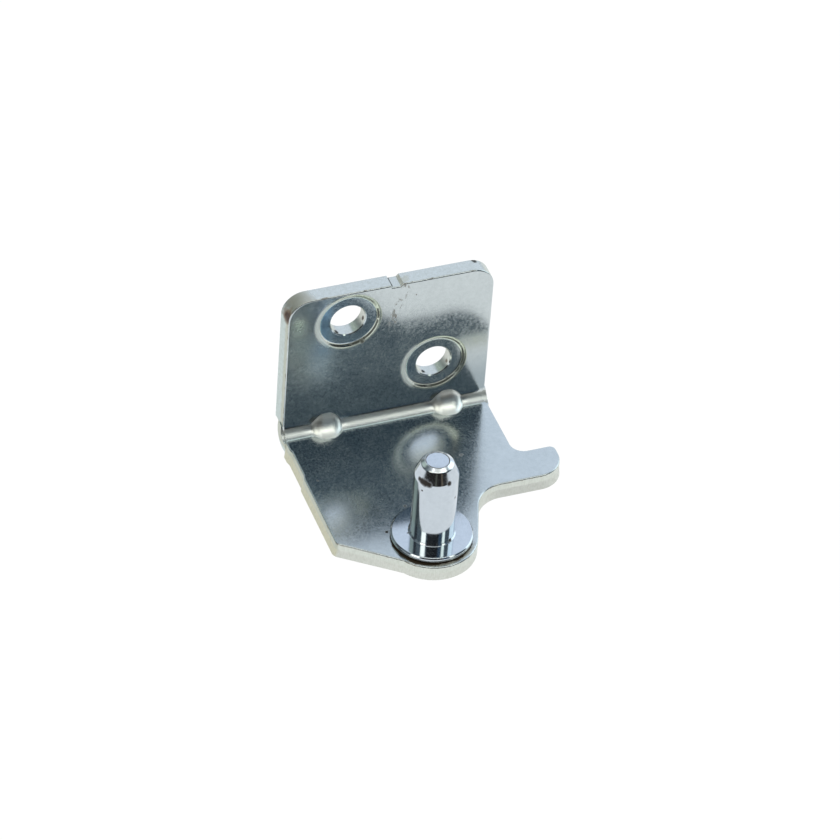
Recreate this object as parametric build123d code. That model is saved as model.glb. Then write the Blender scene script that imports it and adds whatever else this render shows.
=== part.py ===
from build123d import *
import os
from math import asin, atan2, cos, hypot, radians, sin, sqrt, tan

# Fridge door hinge: a folded steel bracket with a turned hinge pin riveted into its base plate.
# Millimetres. The origin is on the pin's axis, in the top face of the pin's collar.
# +X runs along the bend towards the stop arm, +Y towards the cabinet, +Z up the pin.

# Sheet and bend
sheet = 3.0
bend_inside_radius = 2.0
inner_edge_round = 0.3

# Sheared edges: straight in a burnished band next to the inner side, then leaning outwards
burnished_band = 1.4
shear_flare = 0.4

# Ends of the bend, which folding squeezes out on the inside and draws in on the outside
bulge_height = 0.4
bulge_spread = 2.9
bulge_from_inside = 0.9
bulge_from_outside = 0.3
drawn_in_depth = 1.1
drawn_in_spread = 4.3

# Back plate, which is screwed to the cabinet
plate_width = 39.0
overall_height = 34.0
plate_corner_radius = 4.2

# Notch in the back plate's top edge
notch_from_left = 20.4
notch_width = 2.3
notch_depth = 0.5
notch_left_lean = 0.15
notch_right_lean = 0.5

# Screw holes, and the coined recess round each
screw_hole_radius = 3.3
screw_hole_chamfer = 0.2
upper_hole_from_left = 11.5
upper_hole_height = 27.4
lower_hole_from_left = 28.6
lower_hole_height = 13.7
recess_depth = 0.4
recess_floor_width = 1.85
recess_wall_width = 1.05

# Hinge pin, the part that stands up
pin_radius = 4.0
pin_straight_length = 13.9
pin_foot_chamfer = 0.25
shoulder_round = 0.3
lead_in_length = 2.5
lead_in_inset = 1.05
tip_edge_round = 0.3
tip_bevel_length = 0.6
tip_bevel_inset = 0.9

# Hinge pin, its collar, shank and riveted tail
collar_width = 3.4
collar_height = 1.2
collar_top_chamfer = 0.25
collar_bottom_chamfer = 0.4
shank_inset = 1.0
tail_flare = 1.0
tail_flare_height = 1.2
tail_short = 0.1
tail_dimple_radius = 1.5
tail_dimple_depth = 0.3

# Place of the pin on the bracket
pin_from_left = 17.0
pin_from_cabinet = 35.5

# Base plate outline
boss_margin = 0.95
side_length = 32.7
side_corner_radius = 1.2
slope_inset = 0.45
flank_angle = 21.0
flank_fillet = 6.0
side_recess_depth = 0.25
side_recess_start = 7.0
side_recess_end = 15.0
side_recess_ramp = 0.8

# Stop arm
arm_from_cabinet = 19.0
arm_width = 7.2
arm_reach = 7.6
arm_front_corner = 5.0
arm_front_corner_share = 0.85
arm_rear_corner = 1.1
arm_rear_fillet = 2.5

# Gussets pressed into the bend, each with a dent behind it
left_gusset_from_edge = 8.2
right_gusset_from_edge = 7.5
gusset_leg = 3.2
gusset_hollow_radius = 4.4
gusset_rise_angle = 15.0
gusset_foot_width = 6.8
gusset_crest_width = 3.5
gusset_height = 1.3
gusset_root = 0.8
gusset_crest_round = 3.0
gusset_foot_round = 0.5
dent_wall = 3.0
dent_floor_width = 3.4
dent_draft = 25.0

# How close a found edge must lie to its worked-out place
match_limit = 0.001

# Worked out from the sizes above
collar_radius = pin_radius + collar_width
boss_radius = collar_radius + boss_margin
shank_radius = pin_radius - shank_inset
left_x = -pin_from_left
right_x = left_x + plate_width
rear_y = pin_from_cabinet
front_y = rear_y - sheet
base_top = -collar_height
base_bottom = base_top - sheet
top_z = base_bottom + overall_height
arm_rear_y = rear_y - arm_from_cabinet
arm_front_y = arm_rear_y - arm_width
arm_end_x = right_x + arm_reach
bend_y = front_y - bend_inside_radius
bend_z = base_top + bend_inside_radius
bend_outside_radius = bend_inside_radius + sheet
cabinet_plane = Plane(origin=(0, rear_y, 0), x_dir=(1, 0, 0), z_dir=(0, -1, 0))
screw_holes = {
    "upper": (left_x + upper_hole_from_left, base_bottom + upper_hole_height),
    "lower": (left_x + lower_hole_from_left, base_bottom + lower_hole_height),
}
gusset_axis_y = front_y - gusset_leg - gusset_hollow_radius * sin(radians(gusset_rise_angle))
gusset_axis_z = base_top + gusset_hollow_radius * cos(radians(gusset_rise_angle))
arm_front_room = arm_front_corner_share * (arm_width - arm_rear_corner)
arm_front_radius = min(arm_front_corner, arm_front_room)
gusset_places = (left_x + left_gusset_from_edge, right_x - right_gusset_from_edge)


def face_from(*points):
    """Flat face with straight sides through these points."""
    return make_face(Polyline(*points, close=True))


def base_outline(flare=0.0):
    """Plan of the base plate, from the edge of the bend forward to the boss under the pin.

    The side edge and the arm's front edge lie further out by the flare."""
    side_x = left_x - flare
    arm_y = arm_front_y - flare
    corner_y = rear_y - side_length
    # the sloping front edge runs from the side's corner and touches a circle round the pin
    slope_radius = boss_radius - slope_inset
    slope = atan2(-corner_y, -side_x) - asin(slope_radius / hypot(side_x, corner_y))
    slope_end = (slope_radius * sin(slope), -slope_radius * cos(slope))
    # the flank on the arm's side touches the boss and leans outwards to the arm
    lean = radians(flank_angle)
    flank_start = (boss_radius * cos(lean), -boss_radius * sin(lean))
    flank_end_x = flank_start[0] + (arm_y - flank_start[1]) * tan(lean)
    corners = {
        "side_rear": ((side_x, bend_y), 0),
        "side_front": ((side_x, corner_y), side_corner_radius + flare),
        "slope_end": (slope_end, 0),
        "flank_start": (flank_start, 0),
        "flank_end": ((flank_end_x, arm_y), flank_fillet),
        "arm_front": ((arm_end_x, arm_y), arm_front_radius),
        "arm_rear": ((arm_end_x, arm_rear_y), arm_rear_corner),
        "arm_root": ((right_x, arm_rear_y), arm_rear_fillet),
        "plate_edge": ((right_x, bend_y), 0),
    }
    plan = face_from(*[place for place, radius in corners.values()])
    for place, radius in corners.values():
        if radius > 0:
            plan = fillet(plan.vertices().sort_by_distance(Vector(*place))[0], radius)
    recess_x = side_x + side_recess_depth
    recess_rear = rear_y - side_recess_start
    recess_front = rear_y - side_recess_end
    side_recess = face_from(
        (side_x, recess_rear),
        (recess_x, recess_rear - side_recess_ramp),
        (recess_x, recess_front + side_recess_ramp),
        (side_x, recess_front),
    )
    return plan + Circle(boss_radius) - side_recess


def back_outline(flare=0.0):
    """Upright plate seen from the front, from the edge of the bend to its rounded top corners."""
    side_x = left_x - flare
    plate = face_from((side_x, bend_z), (right_x, bend_z), (right_x, top_z), (side_x, top_z))
    plate = fillet(plate.vertices().group_by(Axis.Y)[-1], plate_corner_radius)
    left = left_x + notch_from_left - notch_width / 2
    right = left + notch_width
    floor = top_z - notch_depth
    notch = face_from(
        (left, top_z),
        (left + notch_left_lean, floor),
        (right - notch_right_lean, floor),
        (right, top_z),
    )
    return plate - notch


def sheared_plate(outline, outside):
    """Flat part of the sheet above an outside plane, with its burnished and flared bands."""
    middle = outside.offset(sheet - burnished_band)
    flared = loft([outside * outline(shear_flare), middle * outline()], ruled=True)
    return flared + extrude(middle * outline(), burnished_band)


def ball_at_bend(face_x, inwards, depth, spread, radius):
    """Ball that dips by a depth into the plane at face_x, over a spread round a spot in the
    middle of the bend. Inwards is +1 or -1, the way that it dips along X."""
    ball = (spread**2 + depth**2) / (2 * depth)
    y = bend_y + radius / sqrt(2)
    z = bend_z - radius / sqrt(2)
    return Pos(face_x + inwards * (depth - ball), y, z) * Sphere(ball)


def with_bend_ends(body):
    """The folded sheet with both ends of its bend drawn in outside and squeezed out inside."""
    ring_top = bend_z - bend_inside_radius - inner_edge_round
    ring_bottom = bend_z - bend_outside_radius + bulge_from_outside
    for end_x, flare, inwards in ((left_x, shear_flare, 1), (right_x, 0, -1)):
        outside_x = end_x - inwards * flare
        drawn_in = ball_at_bend(
            outside_x, inwards, drawn_in_depth, drawn_in_spread, bend_outside_radius
        )
        body = (body - drawn_in).solid()
        ball = ball_at_bend(
            end_x, -inwards, bulge_height, bulge_spread, bend_inside_radius + bulge_from_inside
        )
        ring = turned_round_bend(
            (end_x - 2 * bulge_height, ring_top),
            (end_x + 2 * bulge_height, ring_top),
            (end_x + 2 * bulge_height, ring_bottom),
            (end_x - 2 * bulge_height, ring_bottom),
        )
        body = (body + (ball & ring)).solid()
    return body


def turned_round_bend(*points):
    """Solid of the section through these points, given as (x, z), turned through the bend."""
    below_bend = Plane(origin=(0, bend_y, 0), x_dir=(1, 0, 0), z_dir=(0, -1, 0))
    return revolve(below_bend * face_from(*points), Axis((0, bend_y, bend_z), (1, 0, 0)), 90)


def folded_sheet():
    """Base plate, quarter-round bend and back plate in one piece, with sharp edges."""
    base = sheared_plate(base_outline, Plane.XY.offset(base_bottom))
    back = sheared_plate(back_outline, cabinet_plane)
    bend = turned_round_bend(
        (left_x, base_top),
        (right_x, base_top),
        (right_x, base_bottom),
        (left_x - shear_flare, base_bottom),
        (left_x, base_top - burnished_band),
    )
    return (base + bend + back).solid()


def depth_in_sheet(point):
    """How far a point lies behind the inner side of the fold."""
    if point.Y <= bend_y and point.Z <= bend_z:
        return base_top - point.Z
    if point.Z >= bend_z:
        return point.Y - front_y
    return hypot(point.Y - bend_y, point.Z - bend_z) - bend_inside_radius


def edges_at_depth(body, depth):
    """Edges that lie wholly at one depth in the sheet, without the bend's two borders."""
    found = []
    for edge in body.edges():
        points = (edge @ 0, edge @ 0.5, edge @ 1)
        at_depth = all(abs(depth_in_sheet(point) - depth) < match_limit for point in points)
        border = edge.geom_type == GeomType.LINE and abs(edge.length - plate_width) < match_limit
        if at_depth and not border:
            found.append(edge)
    return found


def gusset(x):
    """Rib across the inside of the bend: its rounded cross-section is turned about an axis above
    the bend, which makes its crest hollow."""
    foot, crest = gusset_foot_width / 2, gusset_crest_width / 2
    crest_z = gusset_axis_z - gusset_hollow_radius
    foot_z = crest_z - gusset_height
    root_z = foot_z - gusset_root
    section = face_from(
        (x - crest, crest_z),
        (x + crest, crest_z),
        (x + foot, foot_z),
        (x + foot, root_z),
        (x - foot, root_z),
        (x - foot, foot_z),
    )
    for side in (x - crest, x + crest):
        corner = section.vertices().sort_by_distance(Vector(side, crest_z))[0]
        section = fillet(corner, gusset_crest_round)
    below_axis = Plane(origin=(0, gusset_axis_y, 0), x_dir=(1, 0, 0), z_dir=(0, -1, 0))
    axis = Axis((0, gusset_axis_y, gusset_axis_z), (1, 0, 0))
    return revolve(below_axis * section, axis, 90)


def gusset_foot_edges(body, x):
    """Edges round the foot of one gusset, where it meets the inner side of the fold."""
    reach = gusset_axis_z - base_top
    found = []
    for edge in body.edges():
        points = (edge @ 0, edge @ 0.5, edge @ 1)
        near = all(
            abs(point.X - x) < gusset_foot_width / 2
            and front_y - reach < point.Y
            and point.Z < base_top + reach
            for point in points
        )
        if near and all(abs(depth_in_sheet(point)) < match_limit for point in points):
            found.append(edge)
    return found


def gusset_dent(x):
    """Groove that the punch leaves on the outside of the bend, behind a gusset."""
    to_corner = hypot(front_y - gusset_axis_y, gusset_axis_z - base_top)
    floor = to_corner - gusset_hollow_radius - dent_wall
    inwards = Vector(0, -1, 1).normalized()
    start = Vector(x, front_y, base_top) + inwards * floor
    outwards = Plane(origin=start, x_dir=(1, 0, 0), z_dir=-inwards)
    return extrude(
        outwards * Rectangle(dent_floor_width, 2 * bend_outside_radius),
        bend_outside_radius,
        taper=-dent_draft,
    )


def screw_hole(x, z):
    """What a screw hole takes out of the back plate: its bore and the coined recess in front."""
    floor_radius = screw_hole_radius + recess_floor_width
    outer_radius = floor_radius + recess_wall_width
    middle = ((floor_radius + outer_radius) / 2, recess_depth / 2)
    outline = [
        Polyline((floor_radius, recess_depth), (0, recess_depth), (0, 0), (outer_radius, 0)),
        TangentArc((outer_radius, 0), middle, tangent=(-1, 0)),
        TangentArc((floor_radius, recess_depth), middle, tangent=(1, 0)),
    ]
    into_plate = Plane(origin=(x, front_y, z), x_dir=(1, 0, 0), z_dir=(0, 0, 1))
    recess = revolve(into_plate * make_face(outline), Axis((x, front_y, z), (0, 1, 0)))
    bore = extrude(cabinet_plane * Pos(x, z) * Circle(screw_hole_radius), sheet)
    return recess + bore


def bore_edges(body, x, z):
    """The two rims of one screw hole's bore, as (front, rear)."""
    rims = []
    for edge in body.edges().filter_by(GeomType.CIRCLE):
        centre = edge.arc_center
        round_hole = abs(edge.radius - screw_hole_radius) < match_limit
        if round_hole and hypot(centre.X - x, centre.Z - z) < match_limit:
            rims.append(edge)
    rims.sort(key=lambda edge: edge.arc_center.Y)
    return rims


def bracket():
    """The folded bracket, finished: rounded edges, gussets, screw holes and the pin's seat."""
    body = folded_sheet()
    body = body.fillet(inner_edge_round, edges_at_depth(body, 0))
    body = with_bend_ends(body)
    for x in gusset_places:
        body = (body + gusset(x)).solid()
        body = body.fillet(gusset_foot_round, gusset_foot_edges(body, x))
        body = (body - gusset_dent(x)).solid()
    for x, z in screw_holes.values():
        body = (body - screw_hole(x, z)).solid()
        body = body.chamfer(screw_hole_chamfer, None, [bore_edges(body, x, z)[0]])
    seat = Pos(0, 0, base_bottom) * Cylinder(
        shank_radius, sheet, align=(Align.CENTER, Align.CENTER, Align.MIN)
    )
    flare = Pos(0, 0, base_bottom) * Cone(
        shank_radius + tail_flare,
        shank_radius,
        tail_flare_height,
        align=(Align.CENTER, Align.CENTER, Align.MIN),
    )
    return (body - seat - flare).solid()


def hinge_pin():
    """The pin as turned and riveted: tail, shank, collar, straight journal and bevelled lead-in."""
    tail_z = base_bottom + tail_short
    tail_radius = shank_radius + tail_flare * (1 - tail_short / tail_flare_height)
    lead_in_top = pin_straight_length + lead_in_length
    lead_in_radius = pin_radius - lead_in_inset
    tip_z = lead_in_top + tip_bevel_length
    half_section = face_from(
        (0, tail_z + tail_dimple_depth),
        (tail_dimple_radius, tail_z),
        (tail_radius, tail_z),
        (shank_radius, base_bottom + tail_flare_height),
        (shank_radius, base_top),
        (collar_radius - collar_bottom_chamfer, base_top),
        (collar_radius, base_top + collar_bottom_chamfer),
        (collar_radius, -collar_top_chamfer),
        (collar_radius - collar_top_chamfer, 0),
        (pin_radius + pin_foot_chamfer, 0),
        (pin_radius, pin_foot_chamfer),
        (pin_radius, pin_straight_length),
        (lead_in_radius, lead_in_top),
        (lead_in_radius - tip_bevel_inset, tip_z),
        (0, tip_z),
    )
    rounds = {
        (pin_radius, pin_straight_length): shoulder_round,
        (lead_in_radius, lead_in_top): tip_edge_round,
    }
    for place, radius in rounds.items():
        corner = half_section.vertices().sort_by_distance(Vector(*place))[0]
        half_section = fillet(corner, radius)
    return revolve(Plane.XZ * half_section, Axis.Z).solid()


os.makedirs("parts", exist_ok=True)
export_step(bracket(), "parts/bracket.step")
export_step(hinge_pin(), "parts/hinge_pin.step")
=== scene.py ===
from math import cos, hypot, pi, radians, sin

import bpy
from mathutils import Matrix, Vector


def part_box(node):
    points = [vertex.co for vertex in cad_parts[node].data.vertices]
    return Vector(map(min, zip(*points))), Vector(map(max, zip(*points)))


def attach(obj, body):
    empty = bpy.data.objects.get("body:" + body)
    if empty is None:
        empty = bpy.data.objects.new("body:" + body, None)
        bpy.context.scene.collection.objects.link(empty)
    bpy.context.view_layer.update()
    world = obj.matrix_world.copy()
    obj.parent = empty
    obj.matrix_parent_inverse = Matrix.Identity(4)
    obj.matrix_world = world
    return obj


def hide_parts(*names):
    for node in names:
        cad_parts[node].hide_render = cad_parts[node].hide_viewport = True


# Fridge door hinge: bright zinc-plated steel on a white table. Metres, in the part's own frame.
mm = 0.001

# Camera, at the photograph's viewing angle
camera_azimuth = 22.78
camera_elevation = 41.62
camera_roll = 4.5
camera_distance = 912 * mm
camera_clip = 50 * mm
camera_target = Vector((5.2, 21.8, 6.3)) * mm
sensor_width = 36.0
image_width = 840
focal_pixels = 5070

# Places on the part, from its frame
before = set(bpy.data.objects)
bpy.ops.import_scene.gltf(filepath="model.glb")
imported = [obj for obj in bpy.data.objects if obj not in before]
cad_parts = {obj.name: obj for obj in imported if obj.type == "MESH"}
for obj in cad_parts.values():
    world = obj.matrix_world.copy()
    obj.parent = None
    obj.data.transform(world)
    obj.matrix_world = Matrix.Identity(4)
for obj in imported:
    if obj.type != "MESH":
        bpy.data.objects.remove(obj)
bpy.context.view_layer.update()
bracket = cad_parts["bracket"]
bracket_low, bracket_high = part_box("bracket")
sheet = 3.0 * mm
sheared_depth = 1.4 * mm
base_top = bracket_low.z + sheet
plate_front = bracket_high.y - sheet
bend_start_y = plate_front - 2.0 * mm
bend_end_z = base_top + 2.0 * mm
collar_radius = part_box("hinge_pin")[1].x
notch_floor_z = bracket_high.z - 0.5 * mm
notch_crease_x = 2.45 * mm
screw_holes = [Vector((-5.5, 34.0, 23.2)) * mm, Vector((11.6, 34.0, 9.5)) * mm]
recess_radius = 6.2 * mm
gusset_middles = [Vector((-8.8, 30.8, 0.5)) * mm, Vector((14.5, 30.8, 0.5)) * mm]
gusset_reach = 5.2 * mm

# Plating: how large its clouds, mottling, specks and slow waves are, how deep the waves are on the
# sheet, how much rougher the base is, and how far the back plate seems to lean forward, as a slope
cloud_size = 4 * mm
mottle_size = 0.9 * mm
speck_size = 0.42 * mm
wave_size = 7 * mm
sheet_relief = 0.02 * mm
base_added_roughness = 0.045
plate_lean = 0.0112

# Table, which is so brightly lit that it shows no shadow
table_half_width = 350 * mm
table_cloud_size = 40 * mm
table_dark = (0.06, 0.06, 0.06)
table_pale = (0.08, 0.08, 0.08)
table_glow_mirrored = (0.88, 0.92, 0.95)
table_glow_seen = (0.98, 0.98, 0.98)


class Tree:
    """Short forms for filling one node tree. Each call returns an output socket."""

    def __init__(self, owner):
        owner.use_nodes = True
        self.tree = owner.node_tree
        self.tree.nodes.clear()

    def node(self, kind, **settings):
        made = self.tree.nodes.new(kind)
        for name, value in settings.items():
            setattr(made, name, value)
        return made

    def feed(self, socket, value):
        if isinstance(value, bpy.types.NodeSocket):
            self.tree.links.new(value, socket)
        else:
            socket.default_value = value

    def math(self, operation, *values):
        made = self.node("ShaderNodeMath", operation=operation)
        for socket, value in zip(made.inputs, values):
            self.feed(socket, value)
        return made.outputs[0]

    def minus(self, value, taken):
        return self.math("SUBTRACT", value, taken)

    def scaled(self, value, scale, start):
        """Start plus the value times the scale."""
        return self.math("MULTIPLY_ADD", value, scale, start)

    def times(self, *values):
        product = values[0]
        for value in values[1:]:
            product = self.math("MULTIPLY", product, value)
        return product

    def either(self, *values):
        most = values[0]
        for value in values[1:]:
            most = self.math("MAXIMUM", most, value)
        return most

    def without(self, value, mask):
        return self.times(value, self.minus(1.0, mask))

    def vector(self, operation, *values, output=0):
        made = self.node("ShaderNodeVectorMath", operation=operation)
        for socket, value in zip(made.inputs, values):
            self.feed(socket, value)
        return made.outputs[output]

    def step(self, value, start, end):
        """0 before start, 1 after end, smooth between. Start may be the larger one."""
        made = self.node("ShaderNodeMapRange", interpolation_type="SMOOTHSTEP")
        low, high, first, last = (start, end, 0.0, 1.0) if start < end else (end, start, 1.0, 0.0)
        for name, given in (("Value", value), ("From Min", low), ("From Max", high),
                            ("To Min", first), ("To Max", last)):
            self.feed(made.inputs[name], given)
        return made.outputs["Result"]

    def band(self, value, start, full, full_end, end):
        """1 between full and full_end, falling to 0 at start and at end."""
        return self.times(self.step(value, start, full), self.step(value, end, full_end))

    def distance(self, place, centre):
        return self.vector("DISTANCE", place, tuple(centre), output="Value")

    def distance_in_plate(self, place, centre):
        """Distance from the line through centre along Y."""
        return self.distance(self.vector("MULTIPLY", place, (1.0, 0.0, 1.0)), (centre.x, 0.0, centre.z))

    def distance_from_axis(self, place):
        """Distance from the pin's axis."""
        flat = self.vector("MULTIPLY", place, (1.0, 1.0, 0.0))
        return self.vector("LENGTH", flat, output="Value")

    def mix(self, factor, a, b):
        made = self.node("ShaderNodeMix", data_type="RGBA")
        for index, value in ((0, factor), (6, a), (7, b)):
            self.feed(made.inputs[index], (*value, 1.0) if isinstance(value, tuple) else value)
        return made.outputs[2]

    def blend(self, factor, a, b):
        """A number between a and b."""
        made = self.node("ShaderNodeMix", data_type="FLOAT")
        for index, value in ((0, factor), (2, a), (3, b)):
            self.feed(made.inputs[index], value)
        return made.outputs[0]

    def noise(self, place, size, detail=3.0, roughness=0.5):
        """Noise whose blotches are about size across, from 0 to 1."""
        made = self.node("ShaderNodeTexNoise")
        self.feed(made.inputs["Vector"], place)
        for name, value in (("Scale", 1 / size), ("Detail", detail), ("Roughness", roughness)):
            self.feed(made.inputs[name], value)
        return made.outputs["Fac"]

    def stretched(self, place, scale):
        """The place scaled along each axis, for streaks."""
        return self.vector("MULTIPLY", place, scale)

    def split(self, place):
        made = self.node("ShaderNodeSeparateXYZ")
        self.feed(made.inputs[0], place)
        return made.outputs


def near(tree, place, centre, radius, ragged=0.0, grain=0.6 * mm):
    """1 at centre, falling to 0 at radius, with a ragged border."""
    away = tree.distance(place, centre)
    if ragged:
        wobble = tree.minus(tree.noise(place, grain, 4.0), 0.5)
        away = tree.scaled(wobble, 4 * ragged, away)
    return tree.step(away, radius, 0.4 * radius)


def paint(tree, look, mask, colour, roughness):
    """Gives the metal another colour and shine where the mask is 1."""
    look["colour"] = tree.mix(mask, look["colour"], colour)
    look["roughness"] = tree.blend(mask, look["roughness"], roughness)


def stain_and_painted_light(tree, look, mask, colour, roughness=0.6):
    """Covers the metal with something dull where the mask is 1: real stains, and also painted light and
    shade.
    """
    paint(tree, look, mask, colour, roughness)
    look["dull"] = tree.either(look["dull"], mask)


def zinc(name, dark, pale, roughness, grain):
    """Bright zinc plating: a metal with cloudy reflectance, mottled shine and soft waves."""
    material = bpy.data.materials.new(name)
    tree = Tree(material)
    place = tree.node("ShaderNodeTexCoord").outputs["Object"]
    clouds = tree.noise(place, cloud_size, 3.0, 0.6)
    mottle = tree.noise(place, mottle_size, 3.0, 0.65)
    specks = tree.noise(place, speck_size, 2.0, 0.6)
    tone = tree.scaled(mottle, 0.45, tree.times(clouds, 0.35))
    tone = tree.scaled(specks, 0.2, tone)
    tone = tree.step(tone, 0.25, 0.75)
    shine = tree.scaled(tree.step(specks, 0.32, 0.68), grain, roughness - grain / 2)
    shine = tree.scaled(tree.minus(mottle, 0.5), 0.7 * grain, shine)
    shine = tree.scaled(tree.minus(clouds, 0.5), grain, shine)
    look = {
        "colour": tree.mix(tone, dark, pale),
        "roughness": shine,
        "dull": 0.0,
        "height": tree.noise(place, wave_size, 1.0, 0.4),
    }
    return material, tree, place, look


def finish_material(tree, look, relief, edge_round):
    """Ends the tree: rounds sharp edges a little, adds the relief and makes it metal."""
    rounded = tree.node("ShaderNodeBevel", samples=4)
    rounded.inputs["Radius"].default_value = edge_round
    bump = tree.node("ShaderNodeBump")
    bump.inputs["Strength"].default_value = 1.0
    bump.inputs["Distance"].default_value = relief
    tree.feed(bump.inputs["Height"], look["height"])
    tree.feed(bump.inputs["Normal"], rounded.outputs["Normal"])
    shader = tree.node("ShaderNodeBsdfPrincipled")
    tree.feed(shader.inputs["Base Color"], look["colour"])
    tree.feed(shader.inputs["Roughness"], look["roughness"])
    tree.feed(shader.inputs["Metallic"], tree.minus(1.0, look["dull"]))
    tree.feed(shader.inputs["Normal"], bump.outputs["Normal"])
    out = tree.node("ShaderNodeOutputMaterial")
    tree.feed(out.inputs["Surface"], shader.outputs["BSDF"])


def sheet_zones(tree, place):
    """Masks of the sheet's zones, and how deep a point lies behind the inner side."""
    at = tree.split(place)
    normal = tree.split(tree.node("ShaderNodeTexCoord").outputs["Normal"])
    across, along, upright = (tree.math("ABSOLUTE", part) for part in normal)
    on_base = tree.step(at["Y"], bend_start_y + 0.1 * mm, bend_start_y)
    on_plate = tree.step(at["Z"], bend_end_z, bend_end_z + 0.1 * mm)
    base_rim = tree.times(on_base, tree.step(upright, 0.5, 0.2))
    plate_rim = tree.times(on_plate, tree.step(along, 0.5, 0.2))
    bend = tree.times(tree.step(at["Y"], bend_start_y - 0.4 * mm, bend_start_y + 0.3 * mm),
                      tree.step(at["Z"], bend_end_z + 0.4 * mm, bend_end_z - 0.3 * mm))
    curved = tree.times(tree.step(upright, 0.995, 0.97), tree.step(along, 0.995, 0.97))
    gussets = [tree.times(near(tree, place, middle, gusset_reach), curved) for middle in gusset_middles]
    recesses = []
    for hole in screw_holes:
        edge = tree.step(tree.distance_in_plate(place, hole), recess_radius + 0.2 * mm, recess_radius)
        recesses.append(tree.times(on_plate, edge))
    depth = tree.blend(on_plate, tree.minus(base_top, at["Z"]), tree.minus(at["Y"], plate_front))
    return {
        "at": at,
        "normal": normal,
        "on_base": on_base,
        "left": tree.times(tree.step(normal["X"], -0.6, -0.9), tree.step(at["X"], -12 * mm, -14 * mm)),
        "cut": tree.either(base_rim, plate_rim, tree.step(across, 0.8, 0.95)),
        "top_edge": tree.times(plate_rim, tree.step(normal["Z"], 0.6, 0.95)),
        "in_notch": tree.step(at["Z"], notch_floor_z - 0.2 * mm, notch_floor_z - 0.1 * mm),
        "bend": bend,
        "gusset": tree.either(*gussets),
        "recess": tree.either(*recesses),
        "depth": depth,
        "inner_face": tree.step(depth, 0.2 * mm, 0.1 * mm),
        "above_bend": tree.math("MAXIMUM", tree.minus(at["Z"], bend_end_z), 0.0),
    }


def cut_edge_look(tree, place, look, zone):
    """Sheared edges: a smoother burnished band, then a rougher yellowish one with streaks."""
    coarse = tree.noise(place, 0.6 * mm, 4.0, 0.7)
    streaks = tree.noise(tree.stretched(place, (1.0, 1.0, 0.12)), 0.14 * mm, 2.0, 0.6)
    grain = tree.scaled(streaks, 0.5, tree.times(coarse, 0.5))
    border = tree.scaled(tree.minus(coarse, 0.5), 0.5 * mm, zone["depth"])
    sheared = tree.step(border, sheared_depth - 0.15 * mm, sheared_depth + 0.15 * mm)
    smooth_tone = tree.mix(zone["left"], (0.74, 0.755, 0.68), (0.56, 0.57, 0.47))
    left_torn_tone = tree.mix(zone["on_base"], (0.68, 0.74, 0.71), (0.73, 0.70, 0.54))
    torn_tone = tree.mix(zone["left"], (0.77, 0.77, 0.70), left_torn_tone)
    tone = tree.mix(sheared, smooth_tone, torn_tone)
    tone = tree.mix(zone["top_edge"], tone, (0.70, 0.715, 0.67))
    shaded = tree.vector("MULTIPLY", tone, (0.88, 0.88, 0.86))
    tone = tree.mix(tree.step(grain, 0.60, 0.38), tone, shaded)
    rough = tree.blend(sheared, 0.34, 0.46)
    rough = tree.blend(zone["top_edge"], rough, 0.24)
    paint(tree, look, zone["cut"], tone, rough)


def edge_line(tree, place, zone):
    """Thin broken line of grime along the inner border of the cut edges."""
    line = tree.band(zone["depth"], 0.06 * mm, 0.12 * mm, 0.26 * mm, 0.34 * mm)
    broken = tree.step(tree.noise(place, 1.6 * mm, 4.0, 0.7), 0.54, 0.62)
    away_from = tree.either(zone["recess"], zone["bend"], zone["gusset"])
    return tree.without(tree.times(line, broken, 0.6), away_from)


def stretched_shine_and_highlight(tree, look, zone):
    """The bend's middle and the gussets, where stretching has left the plating duller, and where it is
    painted whiter as a painted highlight.
    """
    middle = tree.band(zone["normal"]["Z"], 0.17, 0.42, 0.85, 0.985)
    bend = tree.times(tree.without(zone["bend"], zone["gusset"]), middle)
    paint(tree, look, bend, (0.80, 0.82, 0.78), 0.46)
    paint(tree, look, zone["gusset"], (0.92, 0.93, 0.87), 0.34)


def painted_shade_above_bend(tree, look, zone):
    """Painted shade: the back plate is painted a little darker just above the bend."""
    low = tree.times(tree.step(zone["at"]["Z"], 14 * mm, 3 * mm), zone["inner_face"], 0.6)
    low = tree.without(tree.without(low, zone["on_base"]), zone["bend"])
    look["colour"] = tree.mix(low, look["colour"], (0.20, 0.26, 0.29))


def recess_wall_look(tree, place, look, zone):
    """The recesses' walls: a pale dull painted highlight at the upper left, and painted shade in places at
    the lower right.
    """
    wall = tree.times(zone["recess"], tree.step(zone["depth"], 0.39 * mm, 0.33 * mm))
    paint(tree, look, wall, (0.70, 0.73, 0.62), 0.22)
    normal = zone["normal"]
    turned_left = tree.scaled(normal["X"], 0.9, tree.times(normal["Z"], -0.45))
    # painted highlight: a pale dull coat on the wall's side turned to the upper left
    painted_highlight = tree.times(wall, tree.step(turned_left, 0.04, 0.25), 0.88)
    stain_and_painted_light(tree, look, painted_highlight, (1.0, 1.0, 0.92), 0.35)
    patchy = tree.step(tree.noise(place, 1.8 * mm, 3.0, 0.6), 0.42, 0.50)
    halfway_down = tree.band(zone["depth"], 0.08 * mm, 0.13 * mm, 0.28 * mm, 0.33 * mm)
    # painted shade: dark in places on the wall's side turned to the lower right
    dark = tree.times(wall, tree.step(turned_left, -0.10, -0.28), halfway_down, patchy, 0.85)
    stain_and_painted_light(tree, look, dark, (0.020, 0.024, 0.020), 0.4)


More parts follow.
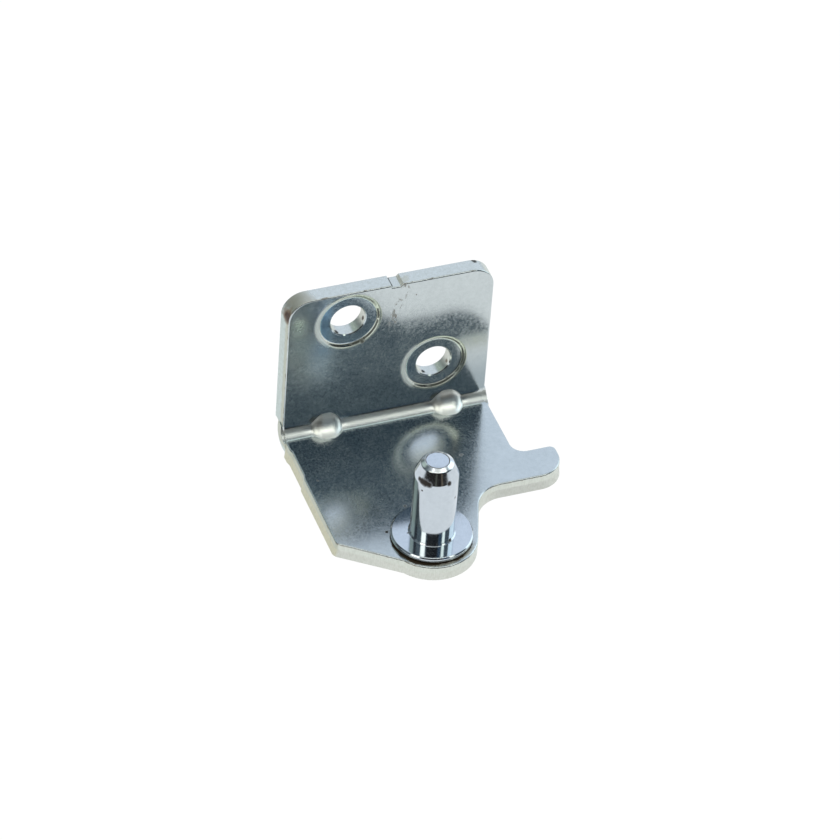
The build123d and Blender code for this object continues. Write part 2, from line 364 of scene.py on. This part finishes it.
def recess_floor_look(tree, place, look, zone):
    """A blue tint on the left of each recess's floor, and a pale dull painted highlight in a ring on the
    left outside it.
    """
    in_front = tree.step(zone["depth"], 0.50 * mm, 0.44 * mm)
    floor = tree.times(zone["recess"], tree.step(zone["depth"], 0.36 * mm, 0.39 * mm), in_front)
    for hole, blueness in zip(screw_holes, (1.0, 0.3)):
        aside = tree.minus(zone["at"]["X"], hole.x)
        blue = tree.times(floor, tree.step(aside, -2.2 * mm, -4.4 * mm), blueness)
        look["colour"] = tree.mix(blue, look["colour"], (0.40, 0.55, 0.66))
        ring = tree.band(tree.distance_in_plate(place, hole), 5.3 * mm, 5.7 * mm, 6.2 * mm, 6.8 * mm)
        # painted highlight: a pale dull ring on the left, just outside the recess
        rim_highlight = tree.times(ring, tree.step(aside, -3.0 * mm, -4.6 * mm), in_front, 0.75)
        stain_and_painted_light(tree, look, rim_highlight, (0.94, 1.0, 0.96), 0.35)


def plate_streaks(tree, place, zone):
    """Wisps of brown that have run down the back plate from its notch."""
    along = tree.minus(zone["at"]["Z"], 20.8 * mm)
    middle = tree.scaled(along, 0.276, 2.8 * mm)
    aside = tree.math("ABSOLUTE", tree.minus(zone["at"]["X"], middle))
    wisps = tree.noise(tree.stretched(place, (1.0, 1.0, 0.5)), 0.75 * mm, 4.0, 0.65)
    run = tree.times(tree.step(aside, 1.2 * mm, 0.3 * mm), tree.step(along, -0.8 * mm, 0.6 * mm))
    return tree.times(run, tree.step(wisps, 0.53, 0.62), zone["inner_face"], 0.55)


def notch_crease_shade(tree, zone):
    """Painted shade: a dark line in the notch, where its floor meets the left wall."""
    aside = tree.math("ABSOLUTE", tree.minus(zone["at"]["X"], notch_crease_x))
    line = tree.step(aside, 0.22 * mm, 0.14 * mm)
    return tree.times(line, zone["in_notch"], tree.step(zone["depth"], 0.3 * mm, 0.6 * mm), 0.85)


def notch_wall(tree, zone):
    """Pale rough wall on the right of the notch."""
    facing_left = tree.step(zone["normal"]["X"], -0.3, -0.6)
    there = tree.band(zone["at"]["X"], 3.6 * mm, 3.9 * mm, 4.8 * mm, 5.0 * mm)
    return tree.times(facing_left, there, zone["in_notch"], 0.85)


def collar_grime_and_shade(tree, place, at):
    """Dirt and painted shade on the sheet round the collar, most of it at the front left, and the
    yellowish fringe that lies round it in front."""
    away = tree.distance_from_axis(place)
    wobble = tree.minus(tree.noise(place, 0.8 * mm, 4.0, 0.7), 0.5)
    width = tree.scaled(wobble, 0.8 * mm, 0.08 * mm)
    for azimuth, reach, extra in grime_and_shade_heaps:
        spot = towards(azimuth, 0) * collar_radius
        spot.z = base_top
        width = tree.scaled(near(tree, place, spot, reach * mm), extra * mm, width)
    dirt_and_shade = tree.step(tree.minus(width, tree.minus(away, collar_radius)), 0.0, 0.12 * mm)
    fringe_end = tree.scaled(wobble, 1.2 * mm, collar_radius + 0.75 * mm)
    fringe = tree.step(tree.minus(fringe_end, away), 0.0, 0.35 * mm)
    on_top = tree.step(at["Z"], base_top - 0.4 * mm, base_top - 0.2 * mm)
    in_front = tree.step(at["Y"], -3.0 * mm, -6.0 * mm)
    return tree.times(dirt_and_shade, on_top), tree.times(fringe, on_top, in_front, 0.55)


rust_brown = (0.10, 0.050, 0.028)
rust_fringe = (0.30, 0.19, 0.11)
# black of the dirt marks, and of the painted shade in the notch's crease
dirt_and_shade_black = (0.012, 0.011, 0.010)
# brown of the dirt marks, and of the painted shade round and under the collar and in the tip's groove
dirt_and_shade_brown = (0.050, 0.034, 0.018)
tarnish_brown = (0.030, 0.021, 0.014)
streak_brown = (0.24, 0.19, 0.13)
line_brown = (0.22, 0.16, 0.09)
fringe_yellow = (0.42, 0.37, 0.24)

# Small marks that the photograph shows on the sheet: place in mm, radius in mm, colour, strength
rim_marks = [
    ((-14.6, 33.9, 29.0), 3.2, (0.44, 0.40, 0.30), 0.5),
    ((-16.9, 33.5, 26.5), 2.1, rust_fringe, 0.9),
    ((-17.0, 33.4, 26.3), 1.5, rust_brown, 1.0),
    ((5.1, 33.8, 29.5), 1.2, (0.60, 0.57, 0.42), 0.3),
    ((19.0, 35.3, 29.8), 0.75, dirt_and_shade_black, 1.0),
    ((20.2, 34.9, 29.6), 0.55, dirt_and_shade_black, 1.0),
    ((-7.45, 33.5, 20.5), 0.65, dirt_and_shade_black, 1.0),
    ((-2.35, 33.9, 22.3), 0.55, rust_brown, 0.9),
    ((10.1, 33.9, 6.5), 0.55, dirt_and_shade_black, 1.0),
    ((14.5, 33.9, 8.1), 0.50, streak_brown, 0.8),
    ((-17.1, 31.9, -0.1), 0.95, dirt_and_shade_black, 0.95),
    ((-6.65, -4.5, -3.5), 0.30, dirt_and_shade_brown, 0.7),
]
face_marks = [
    ((7.1, 32.5, 26.7), 0.20, streak_brown, 0.6),
    ((-2.7, 32.7, 17.9), 0.60, dirt_and_shade_black, 0.8),
    ((14.4, 32.7, 5.0), 0.45, dirt_and_shade_black, 0.5),
    ((-14.8, 19.3, -1.2), 0.26, dirt_and_shade_black, 0.9),
    ((-1.93, 8.6, -1.2), 0.36, dirt_and_shade_black, 0.9),
    ((-7.35, 3.1, -1.2), 0.42, dirt_and_shade_black, 1.0),
    ((12.4, 18.6, -1.2), 0.50, dirt_and_shade_black, 0.6),
]
# Soft milky patches of painted reflection in the sheet's plating: place in mm, radius in mm, colour,
# strength
painted_reflection_patches = [
    ((-15.0, 32.5, 25.0), 2.4, (0.66, 0.82, 0.58), 0.45),
    ((-14.9, 32.5, 23.0), 3.0, (0.44, 0.60, 0.44), 0.38),
    ((-14.6, 32.5, 19.4), 3.4, (0.22, 0.50, 0.46), 0.16),
    ((-10.2, 32.5, 17.6), 3.6, (0.0, 0.28, 0.52), 0.32),
    ((3.4, 13.4, -1.2), 3.0, (0.03, 0.34, 0.55), 0.25),
]
# Heaps of dirt and painted shade round the collar: azimuth, reach in mm, how much wider the ring of dirt
# and shade is there in mm
grime_and_shade_heaps = [(232, 3.6, 0.42), (215, 2.6, 0.20), (200, 2.2, 0.30), (158, 1.6, 0.25), (262, 1.2, 0.25)]
# Brown marks on the pin: place in mm, radius in mm
pin_marks = [
    ((-3.4, -2.1, 12.4), 0.25), ((2.6, -3.0, 10.0), 0.30), ((2.2, -3.5, 0.3), 0.45),
    ((-4.3, 0.6, 0.2), 0.35), ((-3.65, -1.15, 14.4), 0.5), ((-3.4, -1.75, 14.3), 0.75),
    ((-3.05, -2.4, 14.3), 0.95), ((-2.5, -2.95, 14.2), 0.75), ((1.0, -3.7, 14.3), 0.6),
]


def sheet_marks(tree, place, look, zone):
    """The small marks: some only within the cut edges, the others wherever they reach."""
    inside_rim = tree.either(zone["cut"], tree.step(zone["depth"], 0.08 * mm, 0.2 * mm))
    for marks, where in ((rim_marks, inside_rim), (face_marks, 1.0)):
        for spot, radius, colour, strength in marks:
            mask = near(tree, place, Vector(spot) * mm, radius * mm, ragged=0.22 * radius * mm,
                        grain=0.5 * radius * mm)
            stain_and_painted_light(tree, look, tree.times(mask, strength, where), colour)


def bracket_material():
    material, tree, place, look = zinc("zinc_sheet", dark=(0.55, 0.585, 0.578), pale=(0.65, 0.685, 0.678),
                                       roughness=0.146, grain=0.086)
    zone = sheet_zones(tree, place)
    look["roughness"] = tree.scaled(zone["on_base"], base_added_roughness, look["roughness"])
    look["height"] = tree.scaled(zone["above_bend"], plate_lean / sheet_relief, look["height"])
    # painted shade on the back plate just above the bend
    painted_shade_above_bend(tree, look, zone)
    stretched_shine_and_highlight(tree, look, zone)
    recess_wall_look(tree, place, look, zone)
    recess_floor_look(tree, place, look, zone)
    # painted reflections: soft dull coloured patches on the sheet
    for spot, radius, colour, strength in painted_reflection_patches:
        mask = tree.step(tree.distance(place, Vector(spot) * mm), radius * mm, 0.0)
        on_face = tree.step(zone["depth"], 0.1 * mm, 0.02 * mm)
        stain_and_painted_light(tree, look, tree.times(mask, strength, on_face), colour, 0.4)
    cut_edge_look(tree, place, look, zone)
    stain_and_painted_light(tree, look, edge_line(tree, place, zone), line_brown)
    stain_and_painted_light(tree, look, plate_streaks(tree, place, zone), streak_brown)
    # painted shade in the notch's crease
    stain_and_painted_light(tree, look, notch_crease_shade(tree, zone), dirt_and_shade_black)
    stain_and_painted_light(tree, look, notch_wall(tree, zone), (0.88, 0.88, 0.80), 0.5)
    sheet_marks(tree, place, look, zone)
    dirt_and_shade, fringe = collar_grime_and_shade(tree, place, zone["at"])
    stain_and_painted_light(tree, look, fringe, fringe_yellow, 0.4)
    # dirt and painted shade in a ring round the collar
    stain_and_painted_light(tree, look, dirt_and_shade, dirt_and_shade_brown, 0.45)
    finish_material(tree, look, sheet_relief, edge_round=0.10 * mm)
    return material


def pin_material():
    material, tree, place, look = zinc("zinc_pin", dark=(0.57, 0.61, 0.645), pale=(0.65, 0.69, 0.725),
                                       roughness=0.10, grain=0.03)
    height = tree.split(place)["Z"]
    away = tree.distance_from_axis(place)
    patchy = tree.noise(place, 1.0 * mm, 4.0, 0.7)
    # painted highlight: the tip's bevel is painted paler than the rest of the pin
    bevel = tree.times(tree.step(away, 2.1 * mm, 2.2 * mm), tree.step(height, 16.25 * mm, 16.4 * mm))
    paint(tree, look, bevel, (0.82, 0.85, 0.86), 0.20)
    # painted shade with dirt in the tip's ring groove and under the collar's rim
    groove = tree.times(tree.band(away, 1.98 * mm, 2.06 * mm, 2.16 * mm, 2.24 * mm),
                        tree.step(height, 16.6 * mm, 16.7 * mm), tree.step(patchy, 0.40, 0.52), 0.85)
    shade_and_dirt_under_rim = tree.times(tree.step(height, -0.60 * mm, -0.85 * mm), tree.step(patchy, 0.3, 0.45))
    for mask in (groove, shade_and_dirt_under_rim):
        stain_and_painted_light(tree, look, mask, dirt_and_shade_brown)
    for spot, radius in pin_marks:
        mask = near(tree, place, Vector(spot) * mm, radius * mm, ragged=0.12 * radius * mm, grain=0.3 * mm)
        stain_and_painted_light(tree, look, mask, tarnish_brown, 0.4)
    finish_material(tree, look, relief=0.006 * mm, edge_round=0.05 * mm)
    return material


def dress(node, material):
    """Gives a CAD node its material in place of the plain one."""
    node.data.materials.clear()
    node.data.materials.append(material)


# Half section of the pin from the tail's dimple to the tip: radius, height and corner round, in mm
pin_corners = [
    (0.0, -3.80, 0), (1.5, -4.10, 0.15), (3.9, -4.10, 0.12), (3.0, -3.00, 0), (3.0, -1.20, 0),
    (7.0, -1.20, 0.05), (7.4, -0.80, 0.06), (7.4, -0.25, 0.08), (7.15, 0.00, 0.08), (4.25, 0.00, 0.04),
    (4.0, 0.25, 0.05), (4.0, 13.90, 0.30), (2.95, 16.40, 0.16), (2.22, 16.90, 0.05),
    (2.12, 16.79, 0.03), (2.02, 16.85, 0.05), (1.4, 16.93, 0.3), (0.7, 16.98, 0.3), (0.0, 17.0, 0),
]
pin_sides = 160
# Corner rounds: the steps in each, the most that one takes of a straight, and where the point beside
# it lies, as a gap in mm and as the most of a straight
corner_steps = 6
round_limit = 0.45
support_gap = 0.02
support_limit = 0.48


def rounded_section(corners):
    """The section's points with each corner rounded, and a point close by on both straights."""
    points = [corners[0][:2]]
    for before, corner, after in zip(corners, corners[1:], corners[2:]):
        reach = corner[2]
        if reach == 0:
            points.append(corner[:2])
            continue
        ends = []
        for other in (before, after):
            run = (other[0] - corner[0], other[1] - corner[1])
            length = hypot(*run)
            ends.append([(corner[0] + run[0] / length * far, corner[1] + run[1] / length * far)
                         for far in (min(reach, round_limit * length),
                                     min(reach + support_gap, support_limit * length))])
        (start, start_support), (end, end_support) = ends
        points.append(start_support)
        for step in range(corner_steps + 1):
            t = step / corner_steps
            points.append(tuple((1 - t)**2 * a + 2 * t * (1 - t) * b + t**2 * c
                                for a, b, c in zip(start, corner[:2], end)))
        points.append(end_support)
    points.append(corners[-1][:2])
    return points


def turned(name, section, sides):
    """Smooth solid of revolution about Z through (radius, height) points in mm, pole to pole."""
    vertices, faces = [(0.0, 0.0, section[0][1] * mm)], []
    for radius, height in section[1:-1]:
        for side in range(sides):
            angle = 2 * pi * side / sides
            vertices.append((radius * cos(angle) * mm, radius * sin(angle) * mm, height * mm))
    vertices.append((0.0, 0.0, section[-1][1] * mm))
    rings = len(section) - 2
    for side in range(sides):
        follow = (side + 1) % sides
        faces.append((0, 1 + follow, 1 + side))
        for ring in range(rings - 1):
            low, high = 1 + ring * sides, 1 + (ring + 1) * sides
            faces.append((low + side, low + follow, high + follow, high + side))
        last = 1 + (rings - 1) * sides
        faces.append((last + side, last + follow, len(vertices) - 1))
    mesh = bpy.data.meshes.new(name)
    mesh.from_pydata(vertices, [], faces)
    mesh.polygons.foreach_set("use_smooth", [True] * len(mesh.polygons))
    made = bpy.data.objects.new(name, mesh)
    bpy.context.scene.collection.objects.link(made)
    return made


def turned_pin():
    """The pin, turned finely enough for its mirror finish, with the ring groove in its tip."""
    pin = turned("turned_pin", rounded_section(pin_corners), pin_sides)
    pin.data.materials.append(pin_material())
    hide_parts("hinge_pin")
    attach(pin, "root")


def white_table():
    """Floor that the hinge stands on."""
    mesh = bpy.data.meshes.new("table")
    corners = [(x * table_half_width, y * table_half_width, bracket_low.z)
               for x, y in ((-1, -1), (1, -1), (1, 1), (-1, 1))]
    mesh.from_pydata(corners, [], [(0, 1, 2, 3)])
    table = bpy.data.objects.new("table", mesh)
    bpy.context.scene.collection.objects.link(table)
    material = bpy.data.materials.new("table_white")
    tree = Tree(material)
    place = tree.node("ShaderNodeTexCoord").outputs["Object"]
    shader = tree.node("ShaderNodeBsdfPrincipled")
    tone = tree.mix(tree.noise(place, table_cloud_size), table_dark, table_pale)
    tree.feed(shader.inputs["Base Color"], tone)
    shader.inputs["Roughness"].default_value = 0.9
    shader.inputs["Specular IOR Level"].default_value = 0.0
    seen = tree.node("ShaderNodeLightPath").outputs["Is Camera Ray"]
    tree.feed(shader.inputs["Emission Color"], tree.mix(seen, table_glow_mirrored, table_glow_seen))
    shader.inputs["Emission Strength"].default_value = 1.0
    out = tree.node("ShaderNodeOutputMaterial")
    tree.feed(out.inputs["Surface"], shader.outputs["BSDF"])
    mesh.materials.append(material)


def towards(azimuth, elevation):
    """Unit vector. Azimuth 0 is +Y, the back of the room, and 90 is +X."""
    az, el = radians(azimuth), radians(elevation)
    return Vector((sin(az) * cos(el), cos(az) * cos(el), sin(el)))


# What the shiny plating mirrors. Each card is its azimuths, its elevations, the softness of its
# border and its colour, all angles in degrees, later cards in front of earlier ones.
room_tone = (0.20, 0.25, 0.29)
all_round = (0, 360)
cards = [
    ("back_wall", (-20, 100), (-2, 62), 20, (0.81, 0.92, 1.08)),
    ("left_back", (262, 343), (-8, 52), 8, (0.15, 0.19, 0.21)),
    ("left_pale", (306, 340), (24, 52), 8, (0.46, 0.56, 0.52)),
    ("left_dark", (284, 301), (-8, 52), 6, (0.050, 0.060, 0.070)),
    ("overhead", all_round, (62, 130), 12, (0.55, 0.58, 0.58)),
    ("right_side", (62, 102), (0, 46), 6, (1.35, 1.58, 1.70)),
    ("dark_gap", (102, 130), (-6, 47), 5, (0.10, 0.13, 0.15)),
    ("dark_front", (124, 262), (-12, 47), 6, (0.046, 0.092, 0.148)),
    ("front_light", (112, 232), (51, 64), 5, (2.10, 2.15, 2.05)),
    ("black_horizon", (129, 266), (-14, 24), 7, (0.020, 0.019, 0.018)),
    ("pale_streak", (197, 206), (-6, 14), 4, (0.090, 0.095, 0.080)),
    ("brown_streak", (168, 176), (-6, 14), 4, (0.150, 0.120, 0.090)),
    ("camera_black", (166, 226), (18, 50), 7, (0.020, 0.022, 0.025)),
    ("lamp_right", (131, 146), (36, 46), 4, (1.95, 2.10, 1.90)),
    ("lamp_left", (232, 256), (32, 50), 4, (2.50, 2.50, 2.25)),
    ("tip_glint", (231, 253), (62, 71), 4, (2.10, 2.15, 2.20)),
]


def studio_world():
    """A soft pale room behind and above, and a dark one on the camera's side."""
    world = bpy.data.worlds.new("studio")
    bpy.context.scene.world = world
    tree = Tree(world)
    direction = tree.node("ShaderNodeTexCoord").outputs["Generated"]
    x, y, z = tree.split(direction)
    elevation = tree.math("ARCSINE", tree.math("MAXIMUM", tree.math("MINIMUM", z, 1.0), -1.0))
    colour = room_tone
    for name, azimuths, elevations, soft, tint in cards:
        border = radians(soft / 2)
        low, high = (radians(angle) for angle in elevations)
        mask = tree.band(elevation, low - border, low + border, high - border, high + border)
        if azimuths != all_round:
            # azimuth measured from the card's own middle, so that it never wraps inside the card
            turn = radians(sum(azimuths) / 2)
            half_width = radians((azimuths[1] - azimuths[0]) / 2)
            across = tree.minus(tree.times(x, cos(turn)), tree.times(y, sin(turn)))
            along = tree.math("ADD", tree.times(x, sin(turn)), tree.times(y, cos(turn)))
            azimuth = tree.math("ABSOLUTE", tree.math("ARCTAN2", across, along))
            mask = tree.times(mask, tree.step(azimuth, half_width + border, half_width - border))
        colour = tree.mix(mask, colour, tint)
    shown = tree.node("ShaderNodeBackground")
    tree.feed(shown.inputs["Color"], colour)
    backdrop = tree.node("ShaderNodeBackground")
    backdrop.inputs["Color"].default_value = (1.0, 1.0, 1.0, 1.0)
    chosen = tree.node("ShaderNodeMixShader")
    tree.feed(chosen.inputs[0], tree.node("ShaderNodeLightPath").outputs["Is Camera Ray"])
    tree.feed(chosen.inputs[1], shown.outputs[0])
    tree.feed(chosen.inputs[2], backdrop.outputs[0])
    out = tree.node("ShaderNodeOutputWorld")
    tree.feed(out.inputs["Surface"], chosen.outputs[0])


def photo_camera():
    """Camera on the line of the photograph's view, with the photograph's slight roll."""
    backwards = -towards(camera_azimuth, -camera_elevation)
    level = Vector((cos(radians(camera_azimuth)), -sin(radians(camera_azimuth)), 0))
    upwards = backwards.cross(level)
    turn = Matrix((level, upwards, backwards)).transposed().to_4x4()
    data = bpy.data.cameras.new("camera")
    data.sensor_width = sensor_width
    data.lens = focal_pixels / image_width * sensor_width
    data.clip_start = camera_clip
    camera = bpy.data.objects.new("camera", data)
    bpy.context.scene.collection.objects.link(camera)
    place = Matrix.Translation(camera_target + backwards * camera_distance)
    camera.matrix_world = place @ turn @ Matrix.Rotation(radians(camera_roll), 4, "Z")
    bpy.context.scene.camera = camera


dress(bracket, bracket_material())
turned_pin()
white_table()
studio_world()
photo_camera()
bpy.context.scene.view_settings.view_transform = "Standard"
